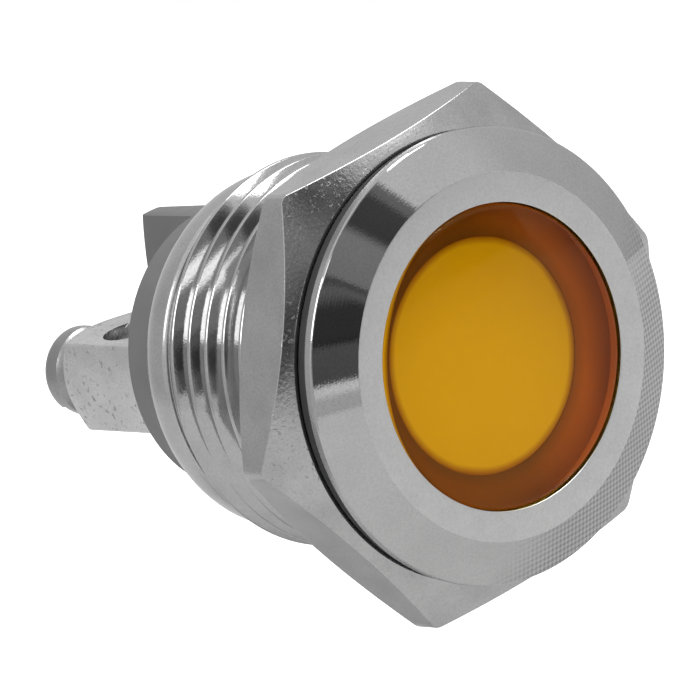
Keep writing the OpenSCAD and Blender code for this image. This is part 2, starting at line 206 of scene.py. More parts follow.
def floor_paint():
    """Pale paint that glows to the camera alone."""
    material, tree, output = blank("pale_floor")
    ray = put(tree, "LightPath").outputs
    tone = blend(tree, ray["Is Glossy Ray"], grey(FLOOR_TONE), grey(FLOOR_TONE_MIRRORED))
    paint = put(tree, "BsdfDiffuse", {"Color": tone})
    glow = math_node(tree, "MULTIPLY", ray["Is Camera Ray"], FLOOR_GLOW)
    light = put(tree, "Emission", {"Color": (*grey(1), 1), "Strength": glow})
    both = put(tree, "AddShader", {0: paint.outputs[0], 1: light.outputs[0]})
    tree.links.new(both.outputs[0], output.inputs["Surface"])
    return material


def pale_floor(height):
    """A wide square floor at a height."""
    made = bmesh.new()
    bmesh.ops.create_grid(made, x_segments=1, y_segments=1, size=FLOOR_HALF)
    bmesh.ops.translate(made, verts=made.verts, vec=(0, 0, height))
    mesh = bpy.data.meshes.new("floor")
    made.to_mesh(mesh)
    made.free()
    mesh.materials.append(floor_paint())
    floor = bpy.data.objects.new("floor", mesh)
    bpy.context.scene.collection.objects.link(floor)
    return floor


floor = pale_floor(cad_box[0].z - FLOOR_DROP)
print("Floor of", round(floor.dimensions.x / MM), "mm")

# %% [markdown]
# Polished metal shows mostly what is round it, so reflected rays see a room. Walls and cards could
# be modelled, but they would stand in the way of other views, so the room is painted in the world.
# It is pale, except on the side where the camera stands: that side is dark, and it draws the black
# band on the bezel's slope.

# %% Dark side
# How dark the parts of the dark side are, from below left to above right.
DARK_PARTS = [(0.000, 0.95), (0.027, 0.92), (0.033, 0.11), (0.160, 0.13), (0.163, 0.02), (0.172, 0.02),
              (0.175, 0.05), (0.285, 0.05), (0.295, 0.10), (0.335, 0.20), (0.353, 0.09), (0.373, 0.09),
              (0.377, 0.29), (0.615, 0.32), (0.665, 0.075), (0.855, 0.090), (0.865, 0.22), (0.935, 0.24),
              (0.945, 0.93), (0.988, 0.88)]
DARK_SPAN = (-0.10, 0.92)
SLANT_TOP = 0.47


def levels(tree, value, stops):
    """Grey levels along a value: a colour ramp with one stop for each (place, grey)."""
    made = put(tree, "ValToRGB", {"Fac": value})
    bar = made.color_ramp
    for number, (spot, tone) in enumerate(stops):
        stop = bar.elements[number] if number < 2 else bar.elements.new(spot)
        stop.position, stop.color = spot, (*grey(tone), 1)
    return made.outputs["Color"]


print("Dark side:", len(DARK_PARTS), "steps of grey")

# %% [markdown]
# A direction in the world is a unit vector, so each area of the room is a product of masks on its x,
# y and z. A window high on the dark side's left and a small flare high on its right make bright
# streaks on the metal. The pale part goes from low to high, and behind the lamp from left to right.

# %% Mirrored room
# Each edge of an area is a pair: where the area has faded out, and where it is full.
DARK_REAR, DARK_LEFT, DARK_FOOT, DARK_TOP = (-0.55, -0.66), (-0.75, -0.60), (-0.12, -0.10), (0.80, 0.70)
WINDOW_RIGHT, WINDOW_FOOT, WINDOW_TOP, WINDOW_TONE = (0.05, 0.02), (0.49, 0.51), (0.61, 0.58), 1.8
FLARE_REAR, FLARE_LEFT, FLARE_FOOT, FLARE_TOP = (-0.52, -0.60), (0.42, 0.50), (0.475, 0.49), (0.58, 0.54)
FLARE_TONE = 2.2
ROOM_SPAN, ROOM_TONES = (-0.2, 0.9), (0.62, 0.90)
WALL_EDGE, WALL_SPAN, WALL_TONES = (0.40, 0.65), (-0.4, 0.4), (0.58, 0.76)
LEAST_DEPTH = 0.01


def mirrored_room(tree):
    """The room's colour in each direction: x is the lamp's right, y its rear and z its top."""
    way = put(tree, "SeparateXYZ", {"Vector": put(tree, "TexCoord").outputs["Generated"]})
    x, y, z = way.outputs[0], way.outputs[1], way.outputs[2]
    depth = math_node(tree, "MAXIMUM", math_node(tree, "ABSOLUTE", y), LEAST_DEPTH)
    across = math_node(tree, "DIVIDE", x, depth)
    slant = math_node(tree, "ADD", math_node(tree, "MAXIMUM", across, 0.0),
                      math_node(tree, "MINIMUM", z, SLANT_TOP))
    dark = levels(tree, ramp(tree, slant, *DARK_SPAN), DARK_PARTS)
    window = product(tree, ramp(tree, across, *WINDOW_RIGHT), ramp(tree, z, *WINDOW_FOOT),
                     ramp(tree, z, *WINDOW_TOP))
    dark = blend(tree, window, dark, grey(WINDOW_TONE))
    dark_side = product(tree, ramp(tree, y, *DARK_REAR), ramp(tree, z, *DARK_FOOT),
                        ramp(tree, z, *DARK_TOP), ramp(tree, across, *DARK_LEFT))
    flare = product(tree, ramp(tree, z, *FLARE_FOOT), ramp(tree, z, *FLARE_TOP),
                    ramp(tree, x, *FLARE_LEFT), ramp(tree, y, *FLARE_REAR))
    room = blend(tree, ramp(tree, z, *ROOM_SPAN), *map(grey, ROOM_TONES))
    wall = blend(tree, ramp(tree, x, *WALL_SPAN), *map(grey, WALL_TONES))
    room = blend(tree, ramp(tree, y, *WALL_EDGE), room, wall)
    room = blend(tree, dark_side, room, dark)
    return blend(tree, flare, room, grey(FLARE_TONE))


print("Room tones from", min(ROOM_TONES + WALL_TONES), "to", max(ROOM_TONES + WALL_TONES))

# %% [markdown]
# The world is white to the camera and through the lens, and the metal mirrors the room. All other
# rays get an even grey light, so that the white background doesn't light the lamp too much.

# %% World
FILL_TONE = 0.75


def studio_world():
    """White to the camera, the room to reflected rays, an even light to all others."""
    world = bpy.data.worlds.new("studio")
    world.use_nodes = True
    tree = world.node_tree
    tree.nodes.clear()
    output = put(tree, "OutputWorld")
    ray = put(tree, "LightPath").outputs
    mirrored = put(tree, "Background", {"Color": mirrored_room(tree)})
    plain = put(tree, "Background", {"Color": (*grey(FILL_TONE), 1)})
    white = put(tree, "Background", {"Color": (*grey(1), 1)})
    lit = put(tree, "MixShader", {0: ray["Is Glossy Ray"], 1: plain.outputs[0], 2: mirrored.outputs[0]})
    seen = math_node(tree, "MAXIMUM", ray["Is Camera Ray"], ray["Is Transmission Ray"])
    final = put(tree, "MixShader", {0: seen, 1: lit.outputs[0], 2: white.outputs[0]})
    tree.links.new(final.outputs[0], output.inputs["Surface"])
    return world


bpy.context.scene.world = studio_world()
print("World nodes:", len(bpy.context.scene.world.node_tree.nodes))

# %% [markdown]
# Two square area lamps add soft light and a little shadow: the key lamp from above right and a
# weaker one from the left. Point lamps would give hard shadows and sharp dots in the metal.

# %% Lamps
LAMP_DISTANCE = 600 * MM


def soft_lamp(name, direction, size, watts):
    """A square area lamp that looks at the lamp's middle."""
    data = bpy.data.lights.new(name, "AREA")
    data.shape, data.size, data.energy = "SQUARE", size, watts
    lamp = bpy.data.objects.new(name, data)
    bpy.context.scene.collection.objects.link(lamp)
    way = Vector(direction).normalized()
    centre = (cad_box[0] + cad_box[1]) / 2
    turn = way.to_track_quat("Z", "Y")
    lamp.matrix_world = Matrix.LocRotScale(centre + way * LAMP_DISTANCE, turn, None)
    return lamp


soft_lamp("key", (0.45, -0.35, 1.0), size=0.35, watts=2.2)
soft_lamp("side", (-0.78, -0.10, 0.62), size=0.27, watts=0.9)

# %% [markdown]
# The metal is brass or steel under bright plating. Real plating isn't one grey: its gloss changes a
# little from place to place, lathe marks run round it, and small pits and grains show close up. A
# painted image could hold such marks, but nodes make them sharp at any size. The marks follow the
# lamp's axis, so the material works out each point's distance from that axis.

# %% Marks on metal
LINE_DETAIL = 3.0
HATCH_PERIOD = 0.60 * MM
HATCH_LEVELS = (-0.5, 0.6)
HATCH_EDGE = (7 * MM, 12 * MM)


def axes(tree):
    """The surface's x, y and z in metres."""
    made = put(tree, "SeparateXYZ", {"Vector": place(tree)})
    return made.outputs[0], made.outputs[1], made.outputs[2]


def from_axis(tree):
    """The surface's distance from the lamp's axis in metres."""
    x, _, z = axes(tree)
    flat = put(tree, "CombineXYZ", {"X": x, "Z": z}).outputs[0]
    return put(tree, "VectorMath", {0: flat}, operation="LENGTH").outputs["Value"]


def lathe_lines(tree, on_face, per_metre):
    """Fine turning marks: noise along one line, by distance from the axis or by place along it."""
    along = from_axis(tree) if on_face else axes(tree)[1]
    return noise(tree, per_metre, LINE_DETAIL, put(tree, "CombineXYZ", {"X": along}).outputs[0])


def cross_hatch(tree):
    """A fine crossed pattern that fades in towards the piece's lower right."""
    x, _, z = axes(tree)
    rising, falling = math_node(tree, "ADD", x, z), math_node(tree, "SUBTRACT", x, z)
    waves = [math_node(tree, "SINE", math_node(tree, "MULTIPLY", way, math.tau / HATCH_PERIOD))
             for way in (rising, falling)]
    dots = ramp(tree, product(tree, *waves), *HATCH_LEVELS)
    return product(tree, dots, ramp(tree, falling, *HATCH_EDGE))


print("Crossed pattern every", round(HATCH_PERIOD / MM, 2), "mm")

# %% [markdown]
# One function makes every plated finish, so that they look like parts of the same lamp. Two close
# tones and a fine speckle give the colour. The bumps lie on each other: turning marks below, then
# grain, then pits.

# %% Plated metal
PATCH_SCALE = 420
SPECKLE_SCALE = 8000
SPECKLE_DEPTH = 0.30
SPECKLE_SHADE = 0.65
GLOSS_SCALE = 700
GLOSS_SPREAD = 0.15
GRAIN_DEPTH = 0.02 * MM
PIT_DEPTH = 0.05 * MM
PIT_EDGE = 0.07
PIT_TONE = 0.10
HATCH_TONE = 0.20


def plated(name, colour, dull, roughness, grain, grain_scale=9000, lines=0.0, line_scale=9000,
           face_lines=False, pits=0.0, pit_scale=1400, pit_level=0.36, hatch=0.0):
    """Plated metal: colour patches, uneven gloss, turning marks, grain, pits and a crossed pattern."""
    material, tree, output = blank(name)
    patches = ramp(tree, noise(tree, PATCH_SCALE, 4.0), 0.35, 0.7)
    tone = blend(tree, patches, colour, dull)
    speckle = ramp(tree, noise(tree, SPECKLE_SCALE), 0.35, 0.70, 0.0, SPECKLE_DEPTH)
    tone = blend(tree, speckle, tone, [c * SPECKLE_SHADE for c in dull])
    gloss = uneven(tree, GLOSS_SCALE, roughness * (1 - GLOSS_SPREAD), roughness * (1 + GLOSS_SPREAD), 3.0)
    normal = None
    if hatch:
        tone = blend(tree, math_node(tree, "MULTIPLY", cross_hatch(tree), hatch), tone, grey(HATCH_TONE))
    if lines:
        normal = bump(tree, lathe_lines(tree, face_lines, line_scale), lines, GRAIN_DEPTH)
    normal = bump(tree, noise(tree, grain_scale, 3.0), grain, GRAIN_DEPTH, under=normal)
    if pits:
        spots = noise(tree, pit_scale, 4.0, distortion=0.6)
        spots = ramp(tree, spots, pit_level, pit_level - PIT_EDGE)
        tone = blend(tree, math_node(tree, "MULTIPLY", spots, pits), tone, grey(PIT_TONE))
        normal = bump(tree, spots, pits, PIT_DEPTH, under=normal, invert=True)
    shader = put(tree, "BsdfPrincipled", {"Base Color": tone, "Metallic": 1.0, "Roughness": gloss,
                                          "Normal": normal})
    tree.links.new(shader.outputs[0], output.inputs["Surface"])
    return material


print("Grain", round(GRAIN_DEPTH / MM, 3), "mm deep, pits", round(PIT_DEPTH / MM, 3), "mm deep")

# %% [markdown]
# The shell has four finishes: bright on the barrel and the collar, satin on the bezel's flat ring,
# nearly a mirror on its slope, and bright without lathe marks on the thread. The nut, the bars and
# the screws were made apart and are rougher. The pins inside are plain brass.

# %% Metal finishes
bright_plate = plated("bright_plate", grey(0.52), grey(0.46), 0.20, grain=0.10, lines=0.15)
satin_plate = plated("satin_plate", grey(0.60), grey(0.58), 0.36, grain=0.12, lines=0.25,
                     face_lines=True)
slope_plate = plated("slope_plate", grey(0.50), grey(0.47), 0.04, grain=0.05, lines=0.10,
                     face_lines=True, hatch=0.75)
thread_plate = plated("thread_plate", grey(0.50), grey(0.43), 0.09, grain=0.12)
nut_plate = plated("nut_plate", grey(0.50), grey(0.42), 0.18, grain=0.45, grain_scale=5000, lines=0.30,
                   line_scale=4000, face_lines=True, pits=0.20, pit_scale=5200, pit_level=0.37)
bar_plate = plated("bar_plate", grey(0.64), grey(0.55), 0.28, grain=0.40, pits=0.50, pit_scale=3600,
                   pit_level=0.385)
screw_plate = plated("screw_plate", grey(0.38), grey(0.30), 0.30, grain=0.30, pits=0.20)
pin_brass = plated("pin_brass", (0.72, 0.52, 0.22), (0.62, 0.44, 0.18), 0.20, grain=0.20)
print("Metal finishes:", [m.name for m in bpy.data.materials if m.name.endswith(("plate", "brass"))])

# %% [markdown]
# Plastic and rubber are simpler. Moulded plastic has a fine grain and small differences in tone, and
# rubber is darker and duller. One function serves for both, with other numbers. The grain is a bump,
# because it is far too fine to be modelled.

# %% Plastic finishes
MOULD_PATCHES = 300
MOULD_GLOSS = 900
MOULD_GRAIN = 6000


def moulded(name, colour, other, roughness):
    """Moulded plastic or rubber: two close tones and a fine grain."""
    material, tree, output = blank(name)
    tone = blend(tree, uneven(tree, MOULD_PATCHES, 0.0, 1.0, 4.0), colour, other)
    gloss = uneven(tree, MOULD_GLOSS, roughness * 0.9, roughness * 1.1)
    normal = bump(tree, noise(tree, MOULD_GRAIN), 0.2, GRAIN_DEPTH)
    shader = put(tree, "BsdfPrincipled", {"Base Color": tone, "Roughness": gloss, "Normal": normal})
    tree.links.new(shader.outputs[0], output.inputs["Surface"])
    return material


grey_plastic = moulded("grey_plastic", grey(0.140), grey(0.122), 0.55)
dark_plastic = moulded("dark_plastic", (0.030, 0.028, 0.028), (0.022, 0.021, 0.021), 0.45)
black_rubber = moulded("black_rubber", grey(0.030), grey(0.020), 0.70)
white_board = moulded("white_board", (0.78, 0.79, 0.75), (0.72, 0.73, 0.69), 0.35)
chip_case = moulded("chip_case", (0.80, 0.78, 0.68), (0.74, 0.72, 0.62), 0.45)
print("Plastic finishes:", [m.name for m in (grey_plastic, dark_plastic, black_rubber, white_board,
                                             chip_case)])

# %% [markdown]
# The lens is clear amber plastic over a milky disc. Bent light is hard to trace back to a lamp, so
# shadow rays pass straight through the plastic, and the disc is lit. The disc looks darker and more
# orange through the lens than it is, so its own colour is a pale yellow. Painted shade darkens the
# disc's rim and the flange next to it, softly at one radius, and the flange away from its right side.

# %% Amber finishes
AMBER_BODY = (0.93, 0.60, 0.045, 1)
AMBER_SHEEN = (0.55, 0.40, 0.20, 1)
AMBER_SHADOW = (0.97, 0.85, 0.45, 1)
AMBER_IOR = 1.42
# Painted shade: the dark amber that darkens the flange on all but its right side.
PAINTED_SHADE_AMBER = (0.05, 0.015, 0.005)
PAINTED_SHADE_EDGE = (6.5 * MM, 1 * MM)
CLOUD_SCALE = 260
CLOUD_MM = 0.06


def clear_amber():
    """Clear amber plastic that lets the light of lamps straight through."""
    material, tree, output = blank("amber_clear")
    glass = put(tree, "BsdfPrincipled", {"Base Color": AMBER_BODY, "IOR": AMBER_IOR,
                                         "Roughness": uneven(tree, 500, 0.015, 0.035),
                                         "Transmission Weight": 1.0, "Specular Tint": AMBER_SHEEN})
    clear = put(tree, "BsdfTransparent", {"Color": AMBER_SHADOW})
    shadow = put(tree, "LightPath").outputs["Is Shadow Ray"]
    both = put(tree, "MixShader", {0: shadow, 1: glass.outputs[0], 2: clear.outputs[0]})
    tree.links.new(both.outputs[0], output.inputs["Surface"])
    return material


def behind_lens(name, inner, outer, edge, soft, painted_shade=0.0):
    """Amber plastic with another colour beyond `edge` mm, the darker one painted shade. Painted shade
    darkens all but its right side.
    """
    material, tree, output = blank(name)
    cloud = uneven(tree, CLOUD_SCALE, -CLOUD_MM, CLOUD_MM, 3.0)
    radius = math_node(tree, "ADD", math_node(tree, "DIVIDE", from_axis(tree), MM), cloud)
    tone = blend(tree, ramp(tree, radius, edge - soft, edge + soft), inner, outer)
    if painted_shade:
        tone = blend(tree, ramp(tree, axes(tree)[0], *PAINTED_SHADE_EDGE, 0, painted_shade), tone, PAINTED_SHADE_AMBER)
    normal = bump(tree, noise(tree, MOULD_GRAIN), 0.1, GRAIN_DEPTH)
    shader = put(tree, "BsdfPrincipled", {"Base Color": tone, "Normal": normal,
                                          "Roughness": uneven(tree, MOULD_GLOSS, 0.42, 0.52)})
    tree.links.new(shader.outputs[0], output.inputs["Surface"])
    return material


# The disc's darker outer colour is painted shade round its rim.
milky_amber = behind_lens("milky_amber", (0.81, 0.91, 0.47), (0.36, 0.20, 0.08), 6.16, 0.20)
# The flange's darker inner colour is painted shade next to the disc, and painted shade darkens it on all
# but its right side.
amber_flange = behind_lens("amber_flange", (0.26, 0.075, 0.018), (0.51, 0.134, 0.018), 6.75, 0.45,
                           painted_shade=0.62)
amber_lens = clear_amber()
print("Amber finishes:", [m.name for m in (milky_amber, amber_flange, amber_lens)])

# %% [markdown]
# Most of the lamp is turned on a lathe. A turned piece starts as the half outline of its section, a
# chain of corners given by radius and place along the axis. A vertex bevel rounds each corner, and
# the spin operator carries the chain once round the axis.

# %% Turned pieces
STEPS = 192
ROUND_SEGMENTS = 3
MERGE = 1e-7
SHARP = math.radians(32)


def as_object(name, made, materials, sharp=SHARP):
    """Turns a bmesh into an object with smooth shading and sharp edges by angle."""
    mesh = bpy.data.meshes.new(name)
    made.to_mesh(mesh)
    made.free()
    mesh.shade_smooth()
    mesh.set_sharp_from_angle(angle=sharp)
    for material in materials:
        mesh.materials.append(material)
    piece = bpy.data.objects.new(name, mesh)
    bpy.context.scene.collection.objects.link(piece)
    return piece


def outline(made, corners, closed):
    """A wire through corners (radius, y, rounding), all in mm, in the plane z = 0."""
    points = [made.verts.new((r * MM, y * MM, 0)) for r, y, _ in corners]
    ends = points[1:] + points[:1] if closed else points[1:]
    for a, b in zip(points, ends):
        made.edges.new((a, b))
    for size in sorted({c[2] for c in corners if c[2]}):
        chosen = [p for p, c in zip(points, corners) if c[2] == size]
        bmesh.ops.bevel(made, geom=chosen, offset=size * MM, segments=ROUND_SEGMENTS, profile=0.5,
                        affect="VERTICES", material=-1)


def turned(corners, closed=True):
    """A closed bmesh turned about the lamp's axis."""
    made = bmesh.new()
    outline(made, corners, closed)
    bmesh.ops.spin(made, geom=made.verts[:] + made.edges[:], cent=(0, 0, 0), axis=(0, 1, 0),
                   angle=math.tau, steps=STEPS, use_merge=True)
    bmesh.ops.remove_doubles(made, verts=made.verts, dist=MERGE)
    bmesh.ops.recalc_face_normals(made, faces=made.faces)
    return made


def face_place(face):
    """The distance from the axis and the place along it of a face's middle, in mm."""
    middle = face.calc_center_median() / MM
    return math.hypot(middle.x, middle.z), middle.y


print("A turned piece has a step every", 360 / STEPS, "degrees")

# %% [markdown]
# The shell is one turned piece: a flat satin ring, a polished slope, the barrel, a groove behind the
# thread, and a collar that is rolled over to hold the base. Stacked cylinders would leave seams, so
# one chain of corners follows its wall all the way round. Its faces then get one of three finishes,
# by where they lie.

# %% Shell
HOLE_R, FACE_R, BEZEL_R, BORE_R = 8.40, 10.06, 12.50, 9.10
SLOPE_END = -0.60
THREAD_ROOT, THREAD_REAR = 9.98, 14.16
GROOVE_R, GROOVE_FRONT, GROOVE_REAR = 9.80, 14.30, 15.20
COLLAR_R, COLLAR_BEND, COLLAR_ROUNDING = 10.10, 16.10, 2.0
LIP_Y = 17.30
CRISP = math.radians(12)

collar_round = [(COLLAR_R - COLLAR_ROUNDING * (1 - math.cos(a)),
                 COLLAR_BEND + COLLAR_ROUNDING * math.sin(a), 0)
                for a in map(math.radians, range(8, 73, 8))]
shell_corners = [
    (HOLE_R, SLOPE_END, 0), (HOLE_R, BEZEL_FRONT, 0.06), (FACE_R, BEZEL_FRONT, 0.05),
    (BEZEL_R, SLOPE_END, 0.10), (BEZEL_R, 0, 0.12), (THREAD_ROOT, 0, 0),
    (THREAD_ROOT, THREAD_REAR, 0), (GROOVE_R, GROOVE_FRONT, 0), (GROOVE_R, GROOVE_REAR, 0.05),
    (9.95, GROOVE_REAR, 0.06), (COLLAR_R, 15.40, 0.08), (COLLAR_R, COLLAR_BEND, 0), *collar_round,
    (8.66, 18.02, 0), (8.60, 17.99, 0), (8.56, 18.07, 0.03), (8.40, 18.09, 0.06), (8.40, LIP_Y, 0),
    (BORE_R, LIP_Y, 0), (BORE_R, SLOPE_END, 0)]
shell_mesh = turned(shell_corners)
for face in shell_mesh.faces:
    radius, along = face_place(face)
    if along < BEZEL_FRONT + 0.02 and radius < FACE_R + 0.01:
        face.material_index = 1
    elif along < SLOPE_END + 0.05 and radius > FACE_R - 0.03:
        face.material_index = 2
shell = as_object("turned_shell", shell_mesh, [bright_plate, satin_plate, slope_plate], CRISP)
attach(shell, "lamp")
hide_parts("housing_shell")
print("Shell faces:", len(shell.data.polygons))

# %% [markdown]
# The CAD model draws the thread as separate ridges. The real one is a single ridge that winds round
# the barrel, and it can be spun as well: each step of the spin also moves the ridge's section along
# the axis. Two planes then cut the ridge off, as the groove behind a real thread does, so its last
# turn narrows to nothing.

# %% Wound ridge
RUN_IN = 0.3
CUT_REACH = 1e-8


def ridge_start(front, half):
    """Where the first turn's middle lies, so that the cut at the front goes through a full ridge."""
    return front - RUN_IN - half


def wound_ridge(root, crest, pitch, front, rear, half, flat, sink, per_turn, turn=0.0):
    """A thread ridge wound round the axis from front to rear, all sizes in mm."""
    made = bmesh.new()
    start = ridge_start(front, half)
    section = [(root - sink, -half), (root, -half), (crest, -flat), (crest, flat), (root, half),
               (root - sink, half)]
    points = [made.verts.new((r * MM, (start + y) * MM, 0)) for r, y in section]
    for a, b in zip(points, points[1:] + points[:1]):
        made.edges.new((a, b))
    bmesh.ops.bevel(made, geom=points[2:4], offset=flat * 0.8 * MM, segments=ROUND_SEGMENTS,
                    profile=0.5, affect="VERTICES", material=-1)
    steps = round((rear - front + 2 * RUN_IN + 2 * half) / pitch * per_turn)
    bmesh.ops.spin(made, geom=made.verts[:] + made.edges[:], cent=(0, 0, 0), axis=(0, 1, 0),
                   dvec=(0, pitch / per_turn * MM, 0), angle=math.tau * steps / per_turn,
                   steps=steps, use_merge=False)
    bmesh.ops.holes_fill(made, edges=[e for e in made.edges if e.is_boundary], sides=0)
    for cut, way in ((front, -1), (rear, 1)):
        bmesh.ops.bisect_plane(made, geom=made.verts[:] + made.edges[:] + made.faces[:],
                               dist=CUT_REACH, plane_co=(0, cut * MM, 0), plane_no=(0, way, 0),
                               clear_outer=True)
        bmesh.ops.holes_fill(made, edges=[e for e in made.edges if e.is_boundary], sides=0)
    bmesh.ops.rotate(made, verts=made.verts, cent=(0, 0, 0), matrix=Matrix.Rotation(turn, 3, "Y"))
    bmesh.ops.recalc_face_normals(made, faces=made.faces)
    return made


print("A ridge starts", RUN_IN, "mm before its front cut")

# %% [markdown]
# The barrel's thread is a fine metric one, with a small flat on its crest. It is a piece of its own
# that sinks a little into the barrel, so that the two need no shared edges. The ridge is turned
# until a crest lies at CREST_Y on the side that the photograph shows.

# %% Barrel thread
PITCH = 1.5
THREAD_CREST = 10.9
THREAD_FRONT = 1.0
THREAD_HALF, THREAD_FLAT, THREAD_SINK = 0.62, 0.10, 0.3
THREAD_STEPS = 120
CREST_Y, CREST_ANGLE = 13.6, math.radians(160.8)

turn = -CREST_ANGLE - math.tau * (CREST_Y - ridge_start(THREAD_FRONT, THREAD_HALF)) / PITCH
barrel_ridge = wound_ridge(THREAD_ROOT, THREAD_CREST, PITCH, THREAD_FRONT, THREAD_REAR, THREAD_HALF,
                           THREAD_FLAT, THREAD_SINK, THREAD_STEPS, turn)
thread = as_object("barrel_thread", barrel_ridge, [thread_plate], CRISP)
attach(thread, "lamp")
print("Thread faces:", len(thread.data.polygons))

# %% [markdown]
# The lock nut is a hexagon whose corners were turned off on both sides, which leaves curved edges
# where each chamfer's cone meets the flat sides. Cutting a prism with two cones would leave ragged
# edges there, so the outline is worked out: how far a side lies from the axis at each angle, and
# where the cone is at that distance.

# %% Nut outline
NUT_FRONT, NUT_REAR = 0.9, 4.9
NUT_HALF_AF, NUT_CORNER = 13.03, 14.95
FRONT_RING, REAR_RING = 12.4, 12.8
FRONT_SLOPE, REAR_SLOPE = math.tan(math.radians(27)), math.tan(math.radians(28.5))
NUT_TURN = math.radians(4.5)


def side_radius(angle):
    """The hexagon's radius at an angle round the axis, in mm, with its corners turned off."""
    from_side = (angle - NUT_TURN) % (math.pi / 3) - math.pi / 6
    return min(NUT_HALF_AF / math.cos(from_side), NUT_CORNER)


def front_cone(angle):
    """Where the front chamfer meets the hexagon's side, in mm along the axis."""
    return NUT_FRONT + (side_radius(angle) - FRONT_RING) * FRONT_SLOPE


def rear_cone(angle):
    """Where the rear chamfer meets the hexagon's side, in mm along the axis."""
    return NUT_REAR - (side_radius(angle) - REAR_RING) * REAR_SLOPE


print("Nut side at a corner and at a flat:", round(side_radius(NUT_TURN), 2),
      round(side_radius(NUT_TURN + math.pi / 6), 2))

# %% [markdown]
# The nut starts as one circle of edges at the bore. Extruding the circle again and again walks round
# the nut's section: countersink, flat ring, chamfer, hexagon, and back on the other side to the
# bore. The last circle lies on the first, and merging the two closes the mesh.

# %% Lock nut
NUT_BORE, NUT_RELIEF, NUT_SINK = 10.97, 11.37, 12.2
SINK_DEPTH, RELIEF_DEPTH = 0.8, 1.6
NUT_POINTS = 360
NUT_ROUNDING = 0.035
NUT_ROUND_FROM, NUT_SHARP = math.radians(18), math.radians(15)


def lay(verts, radius, y):
    """Moves points to a radius and a place along the axis: numbers, or functions of the angle."""
    for v in verts:
        angle = math.atan2(v.co.z, v.co.x)
        out = radius(angle) if callable(radius) else radius
        along = y(angle) if callable(y) else y
        v.co = Vector((out * math.cos(angle), along, out * math.sin(angle))) * MM


def hex_nut():
    """The nut as a closed bmesh."""
    rings = [(NUT_BORE, NUT_FRONT + SINK_DEPTH), (NUT_SINK, NUT_FRONT), (FRONT_RING, NUT_FRONT),
             (side_radius, front_cone), (side_radius, rear_cone), (REAR_RING, NUT_REAR),
             (NUT_SINK, NUT_REAR), (NUT_RELIEF, NUT_REAR - SINK_DEPTH),
             (NUT_RELIEF, NUT_REAR - RELIEF_DEPTH), (NUT_BORE, NUT_REAR - RELIEF_DEPTH),
             (NUT_BORE, NUT_FRONT + SINK_DEPTH)]
    made = bmesh.new()
    upright = Matrix.Rotation(-NUT_TURN, 4, "Y") @ Matrix.Rotation(math.pi / 2, 4, "X")
    bmesh.ops.create_circle(made, cap_ends=False, radius=MM, segments=NUT_POINTS, matrix=upright)
    loop = made.edges[:]
    for number, (radius, y) in enumerate(rings):
        if number:
            got = bmesh.ops.extrude_edge_only(made, edges=loop)["geom"]
            loop = [g for g in got if isinstance(g, bmesh.types.BMEdge)
                    and len([v for v in g.verts if v in got]) == 2]
        lay({v for e in loop for v in e.verts}, radius, y)
    bmesh.ops.remove_doubles(made, verts=made.verts, dist=MERGE)
    bmesh.ops.recalc_face_normals(made, faces=made.faces)
    crisp = [e for e in made.edges if e.calc_face_angle(0) > NUT_ROUND_FROM]
    bmesh.ops.bevel(made, geom=crisp, offset=NUT_ROUNDING * MM, segments=2, profile=0.5,
                    affect="EDGES", material=-1, clamp_overlap=True)
    return made


nut = as_object("hex_lock_nut", hex_nut(), [nut_plate], NUT_SHARP)
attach(nut, "nut")
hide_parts("lock_nut")
print("Nut box in mm:", [round(v / MM, 2) for v in nut.dimensions])

# %% [markdown]
# The seal is a rubber ring that keeps water out of the panel's hole. A torus would be too round for
# it: a moulded ring of this kind is nearly square, so it is turned from four rounded corners.

# %% Seal
SEAL_BORE, SEAL_R, SEAL_FRONT, SEAL_REAR = 11.0, 12.28, 0.02, 0.88

seal = as_object("panel_seal_ring", turned([
    (SEAL_BORE, SEAL_FRONT, 0.08), (SEAL_R, SEAL_FRONT, 0.25), (SEAL_R, SEAL_REAR, 0.25),
    (SEAL_BORE, SEAL_REAR, 0.08)]), [black_rubber])
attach(seal, "lamp")
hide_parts("panel_seal")
print("Seal faces:", len(seal.data.polygons))

# %% [markdown]
# The lens is a thick window with a flange behind the bezel. Light bends in it, so the disc behind
# looks shifted, as in the photograph, which a thin tinted sheet wouldn't show. Its front and middle
# are clear, and its side and flange have a finish that doesn't let light through, with painted shade.

# %% Lens
WINDOW_R, WINDOW_FRONT = 8.37, -1.68
FLANGE_R, FLANGE_FRONT, FLANGE_REAR = 9.0, -0.1, 1.06
CLEAR_R, CLEAR_END = 6.4, -1.30

pane = turned([(0, WINDOW_FRONT, 0), (WINDOW_R, WINDOW_FRONT, 0.36), (WINDOW_R, FLANGE_FRONT, 0),
               (FLANGE_R, FLANGE_FRONT, 0), (FLANGE_R, FLANGE_REAR, 0), (CLEAR_R, FLANGE_REAR, 0),
               (0, FLANGE_REAR, 0)], closed=False)
for face in pane.faces:
    radius, along = face_place(face)
    if along > CLEAR_END and radius > CLEAR_R * 0.98:
        face.material_index = 1
lens = as_object("amber_window", pane, [amber_lens, amber_flange])
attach(lens, "lamp")
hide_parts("lens")
print("Lens faces:", len(lens.data.polygons))

# %% [markdown]
# The milky disc spreads the light of the chips over the lens. It is a plain slab behind the clear
# middle, turned like the rest, and its darker rim is painted shade in its finish.

# %% Milky disc
DISC_R, DISC_FRONT, DISC_REAR = 6.4, 1.08, 1.88

disc = as_object("milky_disc", turned([
    (0, DISC_FRONT, 0), (DISC_R, DISC_FRONT, 0.03), (DISC_R, DISC_REAR, 0), (0, DISC_REAR, 0)],
    closed=False), [milky_amber])
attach(disc, "lamp")
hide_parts("diffuser_disc")
print("Disc faces:", len(disc.data.polygons))

